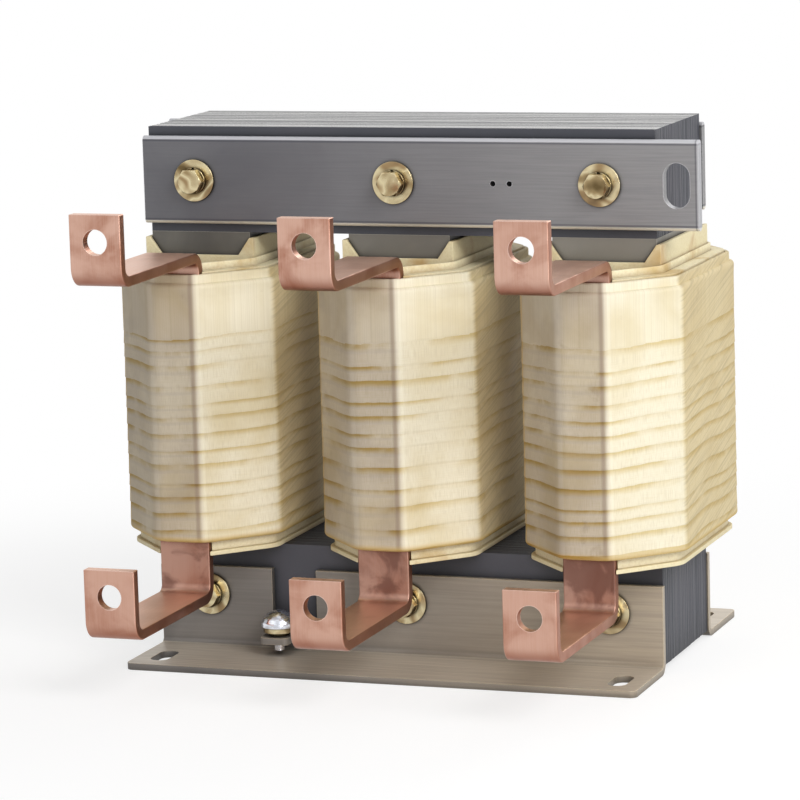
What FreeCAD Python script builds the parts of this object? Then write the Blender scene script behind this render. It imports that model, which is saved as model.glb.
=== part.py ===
# Three-phase load-side reactor: an iron core with three limbs, three tape-wound coils,
# clamp bars and clamp angles bolted through the yokes, and six copper terminal bars.
# Frame in millimetres: X along the row of coils, -Y to the terminal side, +Z up.
# The origin lies on the mounting plane, under the middle of the core.
import FreeCAD, Part
import math
import os

from FreeCAD import Vector

os.makedirs("parts", exist_ok=True)

# Core
LIMB_WIDTH = 60.0
WINDOW_WIDTH = 60.0
WINDOW_HEIGHT = 180.0
YOKE_HEIGHT = 60.0
STACK_DEPTH = 90.0
GAP_THICKNESS = 2.0
BLOCKS_PER_LIMB = 3

# Upper clamp bars
BAR_HEIGHT = 50.0
BAR_THICKNESS = 6.0
BAR_EDGE_RADIUS = 2.9
BAR_SHORT_OVERHANG = 1.5
BAR_LONG_OVERHANG = 26.0
LIFT_HOLE_WIDTH = 15.0
LIFT_HOLE_HEIGHT = 25.0
LIFT_HOLE_END_DISTANCE = 12.5
PILOT_HOLE_DIAMETER = 3.2
PILOT_HOLE_SPACING = 9.6
PILOT_HOLE_OFFSET = 63.0

# Lower clamp angles
SHEET_THICKNESS = 4.0
SHEET_BEND_RADIUS = 3.0
ANGLE_HEIGHT = 50.0
ANGLE_OVERHANG = 1.0
FOOT_REACH = 56.0
FOOT_CORNER_RADIUS = 4.0
SLOT_WIDTH = 11.0
SLOT_LENGTH = 24.0
SLOT_END_DISTANCE = 15.0
SLOT_FOOT_OFFSET = 34.0

# Earth lug, bent forward out of a notch in the front clamp angle
NOTCH_LEFT = -82.0
NOTCH_WIDTH = 27.0
LUG_WIDTH = 17.0
LUG_REACH = 24.0
LUG_TOP = 15.0
LUG_HOLE_OFFSET = 14.0
LUG_SIDE_GAP = 0.5
EARTH_SCREW_DIAMETER = 6.0
EARTH_HEAD_DIAMETER = 20.0
EARTH_HEAD_HEIGHT = 9.5
EARTH_HEAD_RIM = 2.4
EARTH_WASHER_DIAMETER = 18.0
EARTH_WASHER_THICKNESS = 3.0
EARTH_SPRING_DIAMETER = 11.8
EARTH_SPRING_THICKNESS = 2.0
EARTH_TIP_LENGTH = 5.0

# Clamp bolts
BOLT_DIAMETER = 8.0
BOLT_HOLE_DIAMETER = 9.0
BOLT_HEAD_FLATS = 13.0
BOLT_HEAD_HEIGHT = 5.3
BOLT_TAIL = 3.0
NUT_HEIGHT = 6.5
WASHER_DIAMETER = 24.0
WASHER_THICKNESS = 2.0
SPRING_WASHER_DIAMETER = 14.8
SPRING_WASHER_THICKNESS = 2.0
SPRING_WASHER_SLIT = 1.6
SPRING_WASHER_SLANT = 30.0
SLEEVE_WALL = 1.0

# Coils, on a winding outline of eight sides with rounded corners
COIL_SIDE_OVERHANG = 10.0
COIL_FRONT_HALF_FLAT = 14.7
COIL_CORNER_RADIUS = 16.0
COIL_CORNER_TAPER = 0.5
OUTER_BUILD = 5.0
OUTER_RIM_WIDTH = 2.6
INNER_BUILD = 7.1
LAYER_PAPER_THICKNESS = 1.5
DUCT_DEPTH = 28.5
OUTER_TOP_SETBACK = 24.0
SECOND_RIM_RISE = 5.0
INNER_TOP_SETBACK = 18.0
PAPER_TOP_SETBACK = 14.0
OUTER_BOTTOM_LIFT = 8.0
OUTER_RIM_RADIUS = 2.4
SECOND_RIM_RADIUS = 1.1

# Insulating formers
FORMER_WALL = 2.5
FORMER_TOP_GAP = 3.0
FORMER_FRONT_DROP = 10.0
FORMER_SHOULDER = 7.0
FLANGE_THICKNESS = 2.5
FLANGE_INSET = 3.0
STICK_WIDTH = 8.0
STICK_OFFSET = 12.0

# Copper terminal bars
COPPER_WIDTH = 30.0
COPPER_THICKNESS = 6.0
COPPER_BEND_RADIUS = 5.0
COPPER_EDGE_RADIUS = 0.8
TERMINAL_PROJECTION = 101.0
TERMINAL_TAB_HEIGHT = 40.0
TERMINAL_HOLE_DIAMETER = 14.0
TERMINAL_HOLE_INSET = 15.0
TERMINAL_EMBED = 30.0
UPPER_STRIP_RISE = 11.5
LOWER_STRIP_DROP = 35.0

# Clearances
LIMB_CLEARANCE = 0.5
LAYER_CLEARANCE = 0.3
HOLE_CLEARANCE = 0.2

# Derived places
LIMB_PITCH = LIMB_WIDTH + WINDOW_WIDTH
CORE_WIDTH = 3 * LIMB_WIDTH + 2 * WINDOW_WIDTH
CORE_BOTTOM = SHEET_THICKNESS
WINDOW_BOTTOM = CORE_BOTTOM + YOKE_HEIGHT
WINDOW_TOP = WINDOW_BOTTOM + WINDOW_HEIGHT
CORE_TOP = WINDOW_TOP + YOKE_HEIGHT
LOWER_BOLT_Z = CORE_BOTTOM + YOKE_HEIGHT / 2
UPPER_BOLT_Z = CORE_TOP - YOKE_HEIGHT / 2
LIMB_X = {"left": -LIMB_PITCH, "mid": 0.0, "right": LIMB_PITCH}
FLANGE_TOP = WINDOW_BOTTOM + FLANGE_THICKNESS
OUTER_TOP = WINDOW_TOP - OUTER_TOP_SETBACK
INNER_TOP = WINDOW_TOP - INNER_TOP_SETBACK
PAPER_TOP = WINDOW_TOP - PAPER_TOP_SETBACK
OUTER_BOTTOM = WINDOW_BOTTOM + OUTER_BOTTOM_LIFT
HALF_STACK = STACK_DEPTH / 2
WINDING_BUILD = OUTER_BUILD + INNER_BUILD + LAYER_PAPER_THICKNESS + 3 * LAYER_CLEARANCE
COIL_HALF_WIDTH = LIMB_WIDTH / 2 + LIMB_CLEARANCE + FORMER_WALL + WINDING_BUILD
COIL_HALF_DEPTH = HALF_STACK + LIMB_CLEARANCE + FORMER_WALL + DUCT_DEPTH + WINDING_BUILD
COIL_SIDE_HALF_FLAT = HALF_STACK + COIL_SIDE_OVERHANG
TERMINAL_REACH = COIL_HALF_DEPTH + TERMINAL_PROJECTION
LEG_FRONT = COIL_HALF_DEPTH - OUTER_BUILD - LAYER_CLEARANCE
SLEEVE_RADIUS = BOLT_DIAMETER / 2 + HOLE_CLEARANCE + SLEEVE_WALL
YOKE_HOLE_RADIUS = SLEEVE_RADIUS + HOLE_CLEARANCE
ALONG = Vector(0, 1, 0)


def box(x0, x1, y0, y1, z0, z1):
    """A block between two corners."""
    return Part.makeBox(x1 - x0, y1 - y0, z1 - z0, Vector(x0, y0, z0))


def rod(radius, start, direction, length):
    """A round rod that starts at a point and runs along a direction."""
    return Part.makeCylinder(radius, length, start, direction)


def ring(outer, inner, start, direction, length):
    """A flat or long ring round a line."""
    return rod(outer, start, direction, length).cut(rod(inner, start, direction, length))


def hexagon(flats, start, direction, length):
    """A six-sided prism with two flats level, turned so that its length runs along Y."""
    radius = flats / math.sqrt(3)
    angles = [k * math.pi / 3 for k in range(6)]
    corners = [start + Vector(radius * math.cos(angle), 0, radius * math.sin(angle)) for angle in angles]
    return Part.Face(Part.makePolygon(corners + corners[:1])).extrude(direction * length)


def turned_about_z(shape):
    """The same piece turned half a turn about the upright middle line."""
    copy = shape.copy()
    copy.rotate(Vector(0, 0, 0), Vector(0, 0, 1), 180)
    return copy


def line(start, end):
    """A straight edge."""
    return Part.LineSegment(start, end).toShape()


def rounded_run(points, radii):
    """Edges along a line of points, with an arc of the given radius at each inner point."""
    edges = []
    start = points[0]
    for before, corner, after, radius in zip(points, points[1:], points[2:], radii):
        back = (before - corner).normalize()
        on = (after - corner).normalize()
        half = back.getAngle(on) / 2
        reach = radius / math.tan(half)
        bisector = (back + on).normalize()
        first = corner + back * reach
        last = corner + on * reach
        middle = corner + bisector * (radius / math.sin(half) - radius)
        edges.append(line(start, first))
        edges.append(Part.Arc(first, middle, last).toShape())
        start = last
    edges.append(line(start, points[-1]))
    return edges


def folded_strip(path, thickness, inner_radius, x0, x1):
    """A flat strip folded along a path of (y, z) points, as wide as from x0 to x1.

    The path is the strip's middle line. Each face lies half a thickness from it. At a fold
    the face inside the turn has the inner radius, and the other has a thickness more.
    """
    middle = [Vector(x0, y, z) for y, z in path]
    across = Vector(1, 0, 0)
    runs = [(b - a).normalize() for a, b in zip(middle, middle[1:])]
    normals = [across.cross(run) for run in runs]
    faces = []
    for side in (1, -1):
        offset = side * thickness / 2
        points = [middle[0] + normals[0] * offset]
        radii = []
        for k, corner in enumerate(middle[1:-1]):
            mitre = (normals[k] + normals[k + 1]) * (1 / (1 + normals[k].dot(normals[k + 1])))
            points.append(corner + mitre * offset)
            turn = across.dot(runs[k].cross(runs[k + 1]))
            inside = turn * side > 0
            radii.append(inner_radius if inside else inner_radius + thickness)
        points.append(middle[-1] + normals[-1] * offset)
        faces.append((points, radii))
    near, far = faces
    edges = rounded_run(*near) + rounded_run(*far)
    edges.append(line(near[0][0], far[0][0]))
    edges.append(line(near[0][-1], far[0][-1]))
    outline = Part.Wire(Part.__sortEdges__(edges))
    return Part.Face(outline).extrude(across * (x1 - x0))


def stadium(centre, width, length, along, through):
    """An oblong plug for cutting a slot: its length lies along one direction."""
    side = along.cross(through).normalize() * (width / 2)
    reach = along * ((length - width) / 2)
    corners = [centre + reach + side, centre + reach - side,
               centre - reach - side, centre - reach + side]
    ends = [centre + along * (length / 2), centre - along * (length / 2)]
    edges = [
        Part.Arc(corners[0], ends[0], corners[1]).toShape(),
        line(corners[1], corners[2]),
        Part.Arc(corners[2], ends[1], corners[3]).toShape(),
        line(corners[3], corners[0]),
    ]
    return Part.Face(Part.Wire(edges)).extrude(through)


def edges_along(shape, direction, keep):
    """Straight edges parallel to a direction whose middle point passes a test."""
    found = []
    for edge in shape.Edges:
        if not isinstance(edge.Curve, Part.Line):
            continue
        if abs(abs(edge.tangentAt(edge.FirstParameter).dot(direction)) - 1) > 1e-6:
            continue
        if keep(edge.CenterOfMass):
            found.append(edge)
    return found


# Core

def bolt_lines(z):
    """The points where the three clamp bolts of a yoke cross its middle plane."""
    return [Vector(x, 0, z) for x in LIMB_X.values()]


def yoke(bottom, bolt_z):
    """A stack of yoke sheets with a hole over each limb."""
    stack = box(-CORE_WIDTH / 2, CORE_WIDTH / 2, -HALF_STACK, HALF_STACK, bottom, bottom + YOKE_HEIGHT)
    for point in bolt_lines(bolt_z):
        stack = stack.cut(rod(YOKE_HOLE_RADIUS, point - ALONG * HALF_STACK, ALONG, STACK_DEPTH))
    return stack


def limb_pieces(x):
    """The sheet packets of a limb from the bottom up, and the spacers in the gaps between them."""
    gaps = BLOCKS_PER_LIMB - 1
    height = (WINDOW_HEIGHT - gaps * GAP_THICKNESS) / BLOCKS_PER_LIMB
    x0 = x - LIMB_WIDTH / 2
    x1 = x + LIMB_WIDTH / 2
    blocks = []
    spacers = []
    z = WINDOW_BOTTOM
    for k in range(BLOCKS_PER_LIMB):
        blocks.append(box(x0, x1, -HALF_STACK, HALF_STACK, z, z + height))
        z += height
        if k < gaps:
            spacers.append(box(x0, x1, -HALF_STACK, HALF_STACK, z, z + GAP_THICKNESS))
            z += GAP_THICKNESS
    return blocks, spacers


# Coils

def coil_prism(x, inset, z0, z1):
    """A prism on the eight-sided winding outline, moved inwards by an inset all round.

    Its upright corners are rounded, and less so the further in it lies.
    """
    chamfer_angle = math.atan2(COIL_HALF_DEPTH - COIL_SIDE_HALF_FLAT,
                               COIL_HALF_WIDTH - COIL_FRONT_HALF_FLAT)
    front_flat = COIL_FRONT_HALF_FLAT - inset * math.tan(chamfer_angle / 2)
    side_flat = COIL_SIDE_HALF_FLAT - inset * math.tan((math.pi / 2 - chamfer_angle) / 2)
    width = COIL_HALF_WIDTH - inset
    depth = COIL_HALF_DEPTH - inset
    quarter = [(front_flat, depth), (width, side_flat)]
    mirrored = [(px, -py) for px, py in reversed(quarter)]
    half = quarter + mirrored
    outline = half + [(-px, -py) for px, py in half]
    corners = [Vector(x + px, py, z0) for px, py in outline]
    up = Vector(0, 0, z1 - z0)
    prism = Part.Face(Part.makePolygon(corners + corners[:1])).extrude(up)
    radius = COIL_CORNER_RADIUS - COIL_CORNER_TAPER * inset
    return prism.makeFillet(radius, edges_along(prism, Vector(0, 0, 1), lambda point: True))


def coil_ring(x, outer_inset, thickness, z0, z1):
    """A wound ring between two eight-sided outlines."""
    outer = coil_prism(x, outer_inset, z0, z1)
    return outer.cut(coil_prism(x, outer_inset + thickness, z0, z1))


def rims(shape, z):
    """The edges that lie flat at one height."""
    return [edge for edge in shape.Edges if abs(edge.BoundBox.ZMin - z) + abs(edge.BoundBox.ZMax - z) < 1e-6]


def outer_winding(x):
    """The taped outer winding: a wall with a rounded rim, and a second rim that stands higher."""
    second_top = OUTER_TOP + SECOND_RIM_RISE
    wall = coil_prism(x, 0, OUTER_BOTTOM, OUTER_TOP)
    wall = wall.makeFillet(OUTER_RIM_RADIUS, rims(wall, OUTER_TOP) + rims(wall, OUTER_BOTTOM))
    second = coil_prism(x, OUTER_RIM_WIDTH, OUTER_BOTTOM + OUTER_RIM_RADIUS, second_top)
    second = second.makeFillet(SECOND_RIM_RADIUS, rims(second, second_top))
    body = wall.fuse(second).removeSplitter().cut(coil_prism(x, OUTER_BUILD, OUTER_BOTTOM, second_top))
    return without_leg_pockets(body, x)


def inner_winding(x):
    """The inner part of the winding, against the copper legs' rear faces."""
    inset = OUTER_BUILD + LAYER_CLEARANCE
    return without_leg_pockets(coil_ring(x, inset, INNER_BUILD, FLANGE_TOP, INNER_TOP), x)


def without_leg_pockets(body, x):
    """The same winding with the upper and the lower copper leg's pocket cut out of it."""
    half = COPPER_WIDTH / 2 + LAYER_CLEARANCE
    y0 = -LEG_FRONT - LAYER_CLEARANCE
    y1 = -LEG_FRONT + COPPER_THICKNESS + LAYER_CLEARANCE
    upper_end = OUTER_TOP - TERMINAL_EMBED - LAYER_CLEARANCE
    lower_end = OUTER_BOTTOM + TERMINAL_EMBED + LAYER_CLEARANCE
    for z0, z1 in ((upper_end, WINDOW_TOP), (WINDOW_BOTTOM, lower_end)):
        body = body.cut(box(x - half, x + half, y0, y1, z0, z1))
    return body


def layer_paper(x):
    """The stiff paper sleeve that the winding is wound on."""
    inset = OUTER_BUILD + INNER_BUILD + 2 * LAYER_CLEARANCE
    return coil_ring(x, inset, LAYER_PAPER_THICKNESS, FLANGE_TOP, PAPER_TOP)


def former(x):
    """The insulating tube round the limb, with a flange under the winding.

    Its side walls reach up close to the yoke. Its front and rear walls are lower.
    """
    half_x = LIMB_WIDTH / 2 + LIMB_CLEARANCE
    half_y = HALF_STACK + LIMB_CLEARANCE
    top = WINDOW_TOP - FORMER_TOP_GAP
    tube = box(x - half_x - FORMER_WALL, x + half_x + FORMER_WALL,
               -half_y - FORMER_WALL, half_y + FORMER_WALL, WINDOW_BOTTOM, top)
    tube = tube.fuse(coil_prism(x, FLANGE_INSET, WINDOW_BOTTOM, FLANGE_TOP)).removeSplitter()
    tube = tube.cut(box(x - half_x, x + half_x, -half_y, half_y, WINDOW_BOTTOM, top))
    low = top - FORMER_FRONT_DROP
    reach = half_y + 2 * FORMER_WALL
    dip = [(-half_x, top), (-half_x + FORMER_SHOULDER, low), (half_x - FORMER_SHOULDER, low), (half_x, top)]
    corners = [Vector(x + px, -reach, pz) for px, pz in dip]
    dip_plug = Part.Face(Part.makePolygon(corners + corners[:1])).extrude(ALONG * (2 * reach))
    half_leg = COPPER_WIDTH / 2 + LAYER_CLEARANCE
    notch = box(x - half_leg, x + half_leg, -COIL_HALF_DEPTH,
                -LEG_FRONT + COPPER_THICKNESS + LAYER_CLEARANCE, WINDOW_BOTTOM, FLANGE_TOP)
    return tube.cut(dip_plug).cut(notch)


def duct_sticks(x):
    """The upright sticks that hold the winding off the former at the front and the rear."""
    room = coil_prism(x, WINDING_BUILD, FLANGE_TOP, INNER_TOP)
    wall = HALF_STACK + LIMB_CLEARANCE + FORMER_WALL
    sticks = []
    for side in (-1, 1):
        for end in (-1, 1):
            centre = x + side * STICK_OFFSET
            near = end * (wall + LAYER_CLEARANCE)
            far = end * COIL_HALF_DEPTH
            stick = box(centre - STICK_WIDTH / 2, centre + STICK_WIDTH / 2,
                        min(near, far), max(near, far), FLANGE_TOP, INNER_TOP)
            sticks.append(stick.common(room))
    return Part.makeCompound(sticks)


# Copper terminals

def terminal(x, leg_end, strip_bottom):
    """A copper bar that leaves the winding, runs forward and turns up into a drilled tab."""
    half = COPPER_THICKNESS / 2
    leg_y = -LEG_FRONT + half
    tab_y = -TERMINAL_REACH + half
    strip_z = strip_bottom + half
    tab_top = strip_bottom + TERMINAL_TAB_HEIGHT
    path = [(leg_y, leg_end), (leg_y, strip_z), (tab_y, strip_z), (tab_y, tab_top)]
    bar = folded_strip(path, COPPER_THICKNESS, COPPER_BEND_RADIUS,
                       x - COPPER_WIDTH / 2, x + COPPER_WIDTH / 2)
    bar = bar.makeFillet(COPPER_EDGE_RADIUS, side_edges(bar, x, COPPER_WIDTH / 2))
    hole = Vector(x, -TERMINAL_REACH, tab_top - TERMINAL_HOLE_INSET)
    return bar.cut(rod(TERMINAL_HOLE_DIAMETER / 2, hole, ALONG, COPPER_THICKNESS))


def side_edges(shape, x, half_width):
    """All edges that lie in the two side faces of a bar, at half a width from its middle."""
    found = []
    for edge in shape.Edges:
        span = edge.BoundBox
        if span.XLength < 1e-6 and abs(abs(span.XMin - x) - half_width) < 1e-6:
            found.append(edge)
    return found


# Clamps

def clamp_bar():
    """The flat bar along the front of the top yoke, with its long end to the right."""
    left = -CORE_WIDTH / 2 - BAR_SHORT_OVERHANG
    right = CORE_WIDTH / 2 + BAR_LONG_OVERHANG
    outer = -HALF_STACK - BAR_THICKNESS
    bar = box(left, right, outer, -HALF_STACK, UPPER_BOLT_Z - BAR_HEIGHT / 2, UPPER_BOLT_Z + BAR_HEIGHT / 2)
    bar = bar.makeFillet(BAR_EDGE_RADIUS, edges_along(bar, Vector(1, 0, 0), lambda point: True))
    through = ALONG * BAR_THICKNESS
    for point in bolt_lines(UPPER_BOLT_Z):
        bar = bar.cut(rod(BOLT_HOLE_DIAMETER / 2, Vector(point.x, outer, point.z), ALONG, BAR_THICKNESS))
    for side in (-1, 1):
        start = Vector(PILOT_HOLE_OFFSET + side * PILOT_HOLE_SPACING / 2, outer, UPPER_BOLT_Z)
        bar = bar.cut(rod(PILOT_HOLE_DIAMETER / 2, start, ALONG, BAR_THICKNESS))
    lift = Vector(right - LIFT_HOLE_END_DISTANCE, outer, UPPER_BOLT_Z)
    return bar.cut(stadium(lift, LIFT_HOLE_WIDTH, LIFT_HOLE_HEIGHT, Vector(0, 0, 1), through))


def clamp_angle():
    """The folded sheet along the front of the bottom yoke, with a foot that has two slots."""
    half_length = CORE_WIDTH / 2 + ANGLE_OVERHANG
    half = SHEET_THICKNESS / 2
    outer = -HALF_STACK - SHEET_THICKNESS
    path = [(outer + half, ANGLE_HEIGHT), (outer + half, half), (outer - FOOT_REACH, half)]
    angle = folded_strip(path, SHEET_THICKNESS, SHEET_BEND_RADIUS, -half_length, half_length)
    foot_corners = edges_along(angle, Vector(0, 0, 1), lambda point: point.y < outer - FOOT_REACH / 2)
    angle = angle.makeFillet(FOOT_CORNER_RADIUS, foot_corners)
    for point in bolt_lines(LOWER_BOLT_Z):
        start = Vector(point.x, outer, point.z)
        angle = angle.cut(rod(BOLT_HOLE_DIAMETER / 2, start, ALONG, SHEET_THICKNESS))
    for side in (-1, 1):
        centre = Vector(side * (half_length - SLOT_END_DISTANCE), outer - SLOT_FOOT_OFFSET, 0)
        angle = angle.cut(stadium(centre, SLOT_WIDTH, SLOT_LENGTH, ALONG, Vector(0, 0, SHEET_THICKNESS)))
    return angle


def with_earth_lug(angle):
    """The same angle with a notch in its upright leg and a lug bent forward out of the notch."""
    half = SHEET_THICKNESS / 2
    outer = -HALF_STACK - SHEET_THICKNESS
    notch_bottom = LUG_TOP - SHEET_THICKNESS - SHEET_BEND_RADIUS
    angle = angle.cut(box(NOTCH_LEFT, NOTCH_LEFT + NOTCH_WIDTH, outer, -HALF_STACK, notch_bottom, ANGLE_HEIGHT))
    left = NOTCH_LEFT + LUG_SIDE_GAP
    leg_start = SHEET_THICKNESS + SHEET_BEND_RADIUS
    path = [(outer + half, leg_start), (outer + half, LUG_TOP - half), (outer - LUG_REACH, LUG_TOP - half)]
    lug = folded_strip(path, SHEET_THICKNESS, SHEET_BEND_RADIUS, left, left + LUG_WIDTH)
    lug_corners = edges_along(lug, Vector(0, 0, 1), lambda point: point.y < outer - LUG_REACH / 2)
    lug = lug.makeFillet(SHEET_BEND_RADIUS, lug_corners)
    angle = angle.fuse(lug).removeSplitter()
    hole = rod(EARTH_SCREW_DIAMETER / 2 + HOLE_CLEARANCE, earth_axis(LUG_TOP), Vector(0, 0, -1), SHEET_THICKNESS)
    return angle.cut(hole)


# Fasteners

def chamfered_hexagon(flats, start, direction, length):
    """A bolt head or nut whose corners are turned off at the outer face."""
    corner_radius = flats / math.sqrt(3)
    blank = rod(corner_radius, start, direction, length)
    outer = start + direction * length
    rim = [e for e in blank.Edges if isinstance(e.Curve, Part.Circle) and (e.Curve.Center - outer).Length < 1e-6]
    blank = blank.makeChamfer(corner_radius - flats / 2, rim)
    return hexagon(flats, start, direction, length).common(blank)


def fastener_places():
    """Each bolt's middle point with the distance from the middle plane to the clamp's outer face."""
    upper = [(point, HALF_STACK + BAR_THICKNESS) for point in bolt_lines(UPPER_BOLT_Z)]
    lower = [(point, HALF_STACK + SHEET_THICKNESS) for point in bolt_lines(LOWER_BOLT_Z)]
    return upper, lower


def clamp_bolts(places):
    """Bolts with their heads at the front, long enough for the nuts at the rear."""
    bolts = []
    for point, clamp in places:
        seat = clamp + WASHER_THICKNESS + SPRING_WASHER_THICKNESS
        head_start = point - ALONG * seat
        head = chamfered_hexagon(BOLT_HEAD_FLATS, head_start, -ALONG, BOLT_HEAD_HEIGHT)
        shank = rod(BOLT_DIAMETER / 2, head_start, ALONG, 2 * seat + NUT_HEIGHT + BOLT_TAIL)
        bolts.append(head.fuse(shank).removeSplitter())
    return Part.makeCompound(bolts)


def plain_washers(places):
    """A wide washer on each side of each bolt."""
    bore = BOLT_DIAMETER / 2 + HOLE_CLEARANCE
    washers = []
    for point, clamp in places:
        for side in (-1, 1):
            start = point + ALONG * (side * clamp)
            washers.append(ring(WASHER_DIAMETER / 2, bore, start, ALONG * side, WASHER_THICKNESS))
    return Part.makeCompound(washers)


def spring_washer(start, direction):
    """A split ring, pressed flat, with its slit at the top."""
    bore = BOLT_DIAMETER / 2 + HOLE_CLEARANCE
    outer = SPRING_WASHER_DIAMETER / 2
    split = ring(outer, bore, start, direction, SPRING_WASHER_THICKNESS)
    slit = Part.makeBox(SPRING_WASHER_SLIT, 2 * SPRING_WASHER_THICKNESS, outer)
    slit.translate(Vector(-SPRING_WASHER_SLIT / 2, -SPRING_WASHER_THICKNESS, 0))
    slit.rotate(Vector(0, 0, 0), Vector(0, 0, 1), SPRING_WASHER_SLANT)
    slit.translate(start + direction * (SPRING_WASHER_THICKNESS / 2))
    return split.cut(slit)


def spring_washers(places):
    """A spring washer on each plain washer."""
    washers = []
    for point, clamp in places:
        for side in (-1, 1):
            start = point + ALONG * (side * (clamp + WASHER_THICKNESS))
            washers.append(spring_washer(start, ALONG * side))
    return Part.makeCompound(washers)


def hex_nuts(places):
    """A nut on the rear end of each bolt."""
    nuts = []
    for point, clamp in places:
        start = point + ALONG * (clamp + WASHER_THICKNESS + SPRING_WASHER_THICKNESS)
        nut = chamfered_hexagon(BOLT_HEAD_FLATS, start, ALONG, NUT_HEIGHT)
        nuts.append(nut.cut(rod(BOLT_DIAMETER / 2 + HOLE_CLEARANCE, start, ALONG, NUT_HEIGHT)))
    return Part.makeCompound(nuts)


def bolt_sleeves(places):
    """An insulating tube round each bolt inside the yoke."""
    bore = BOLT_DIAMETER / 2 + HOLE_CLEARANCE
    sleeves = [ring(SLEEVE_RADIUS, bore, point - ALONG * HALF_STACK, ALONG, STACK_DEPTH) for point, clamp in places]
    return Part.makeCompound(sleeves)


def earth_axis(z):
    """A point on the upright line of the earth screw."""
    return Vector(NOTCH_LEFT + LUG_SIDE_GAP + LUG_WIDTH / 2, -HALF_STACK - SHEET_THICKNESS - LUG_HOLE_OFFSET, z)


def earth_screw():
    """A screw whose head is a round blank under a shallow ball face, with its tip under the lug."""
    seat = LUG_TOP + EARTH_SPRING_THICKNESS + EARTH_WASHER_THICKNESS
    length = seat - LUG_TOP + SHEET_THICKNESS + EARTH_TIP_LENGTH
    radius = EARTH_HEAD_DIAMETER / 2
    dome = EARTH_HEAD_HEIGHT - EARTH_HEAD_RIM
    ball_radius = (radius ** 2 + dome ** 2) / (2 * dome)
    up = Vector(0, 0, 1)
    head = rod(radius, earth_axis(seat), up, EARTH_HEAD_HEIGHT)
    ball = Part.makeSphere(ball_radius, earth_axis(seat + EARTH_HEAD_HEIGHT - ball_radius))
    shank = rod(EARTH_SCREW_DIAMETER / 2, earth_axis(seat - length), up, length)
    return head.common(ball).fuse(shank).removeSplitter()


def earth_washers():
    """The spring washer on the lug and the plain washer on it."""
    up = Vector(0, 0, 1)
    bore = EARTH_SCREW_DIAMETER / 2 + HOLE_CLEARANCE
    spring = ring(EARTH_SPRING_DIAMETER / 2, bore, earth_axis(LUG_TOP), up, EARTH_SPRING_THICKNESS)
    plain = ring(EARTH_WASHER_DIAMETER / 2, bore, earth_axis(LUG_TOP + EARTH_SPRING_THICKNESS), up,
                 EARTH_WASHER_THICKNESS)
    return spring, plain


# Assembly

def build():
    """All pieces by name."""
    pieces = {
        "bottom_yoke": yoke(CORE_BOTTOM, LOWER_BOLT_Z),
        "top_yoke": yoke(WINDOW_TOP, UPPER_BOLT_Z),
    }
    for name, x in LIMB_X.items():
        blocks, spacers = limb_pieces(x)
        for k, block in enumerate(blocks):
            pieces[f"{name}_limb_block_{k + 1}"] = block
        for k, spacer in enumerate(spacers):
            pieces[f"{name}_gap_spacer_{k + 1}"] = spacer
        pieces[f"{name}_former"] = former(x)
        pieces[f"{name}_layer_paper"] = layer_paper(x)
        pieces[f"{name}_duct_sticks"] = duct_sticks(x)
        pieces[f"{name}_inner_winding"] = inner_winding(x)
        pieces[f"{name}_outer_winding"] = outer_winding(x)
        pieces[f"{name}_upper_terminal"] = terminal(x, OUTER_TOP - TERMINAL_EMBED, OUTER_TOP + UPPER_STRIP_RISE)
        pieces[f"{name}_lower_terminal"] = terminal(
            x, OUTER_BOTTOM + TERMINAL_EMBED, OUTER_BOTTOM - LOWER_STRIP_DROP)
    angle = clamp_angle()
    pieces["front_clamp_bar"] = clamp_bar()
    pieces["rear_clamp_bar"] = turned_about_z(clamp_bar())
    pieces["front_clamp_angle"] = with_earth_lug(angle)
    pieces["rear_clamp_angle"] = turned_about_z(angle)
    upper, lower = fastener_places()
    pieces["upper_clamp_bolts"] = clamp_bolts(upper)
    pieces["lower_clamp_bolts"] = clamp_bolts(lower)
    pieces["plain_washers"] = plain_washers(upper + lower)
    pieces["spring_washers"] = spring_washers(upper + lower)
    pieces["hex_nuts"] = hex_nuts(upper + lower)
    pieces["bolt_sleeves"] = bolt_sleeves(upper + lower)
    spring, plain = earth_washers()
    pieces["earth_spring_washer"] = spring
    pieces["earth_plain_washer"] = plain
    pieces["earth_screw"] = earth_screw()
    return pieces


for node, shape in build().items():
    shape.exportStep(f"parts/{node}.step")
    print(node, len(shape.Solids), "solids", shape.isValid(), round(shape.Volume / 1000, 2), "cm3")
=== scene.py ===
# %% [markdown]
# # A three-phase reactor with taped coils
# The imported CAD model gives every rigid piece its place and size. This lesson dresses it:
# it keeps the solids, rounds their edges on merged copies, winds the coils in tape as
# surfaces worked out with numpy, and gives each finish a procedural material.

# %% Load the frame
import math

import bmesh
import bpy
import numpy as np
from mathutils import Matrix, Vector


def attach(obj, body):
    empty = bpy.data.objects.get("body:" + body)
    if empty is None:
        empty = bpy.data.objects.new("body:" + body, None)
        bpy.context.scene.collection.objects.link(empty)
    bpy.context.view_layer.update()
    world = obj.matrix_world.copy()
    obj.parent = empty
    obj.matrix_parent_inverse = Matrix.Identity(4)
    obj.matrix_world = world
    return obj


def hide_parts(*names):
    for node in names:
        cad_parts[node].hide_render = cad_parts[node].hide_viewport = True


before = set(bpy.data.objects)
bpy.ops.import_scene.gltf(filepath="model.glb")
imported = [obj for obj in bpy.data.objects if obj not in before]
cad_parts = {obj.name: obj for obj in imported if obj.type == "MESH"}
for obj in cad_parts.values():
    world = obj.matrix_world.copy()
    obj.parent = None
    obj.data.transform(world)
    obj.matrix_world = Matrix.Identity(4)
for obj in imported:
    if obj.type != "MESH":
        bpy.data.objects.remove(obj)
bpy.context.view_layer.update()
MM = 0.001

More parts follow.
